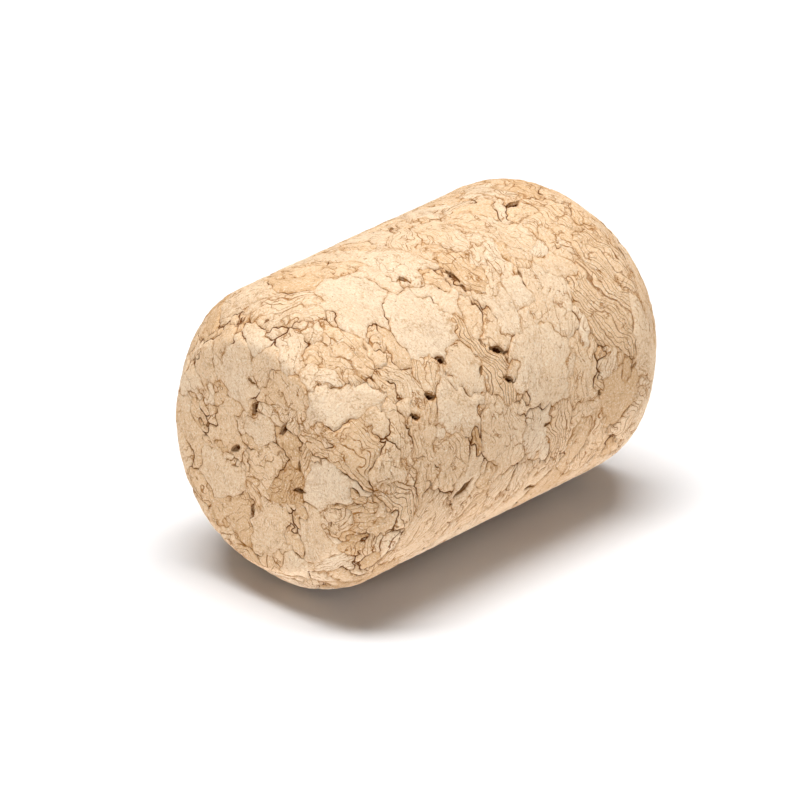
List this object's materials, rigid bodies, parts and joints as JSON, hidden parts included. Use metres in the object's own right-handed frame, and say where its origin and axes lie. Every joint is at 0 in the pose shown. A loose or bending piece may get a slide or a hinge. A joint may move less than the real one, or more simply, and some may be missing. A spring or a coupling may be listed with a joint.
{
  "type": "wine cork",
  "caption": "Short granulated cork stopper with ground, softened rims, for the neck of a bottle.",
  "frame": {"origin": "centre of the flat bottom end, on the surface that the cork stands on", "axes": "+Z along the barrel's axis towards the end that was cut slightly askew, which falls towards 35 degrees from +X in the XY plane"},
  "size_m": [0.02, 0.02, 0.03],
  "materials": {
    "cork": "matt ground granulated cork"
  },
  "bodies": {
    "root": {"cork": "cork"}
  },
  "joints": []
}
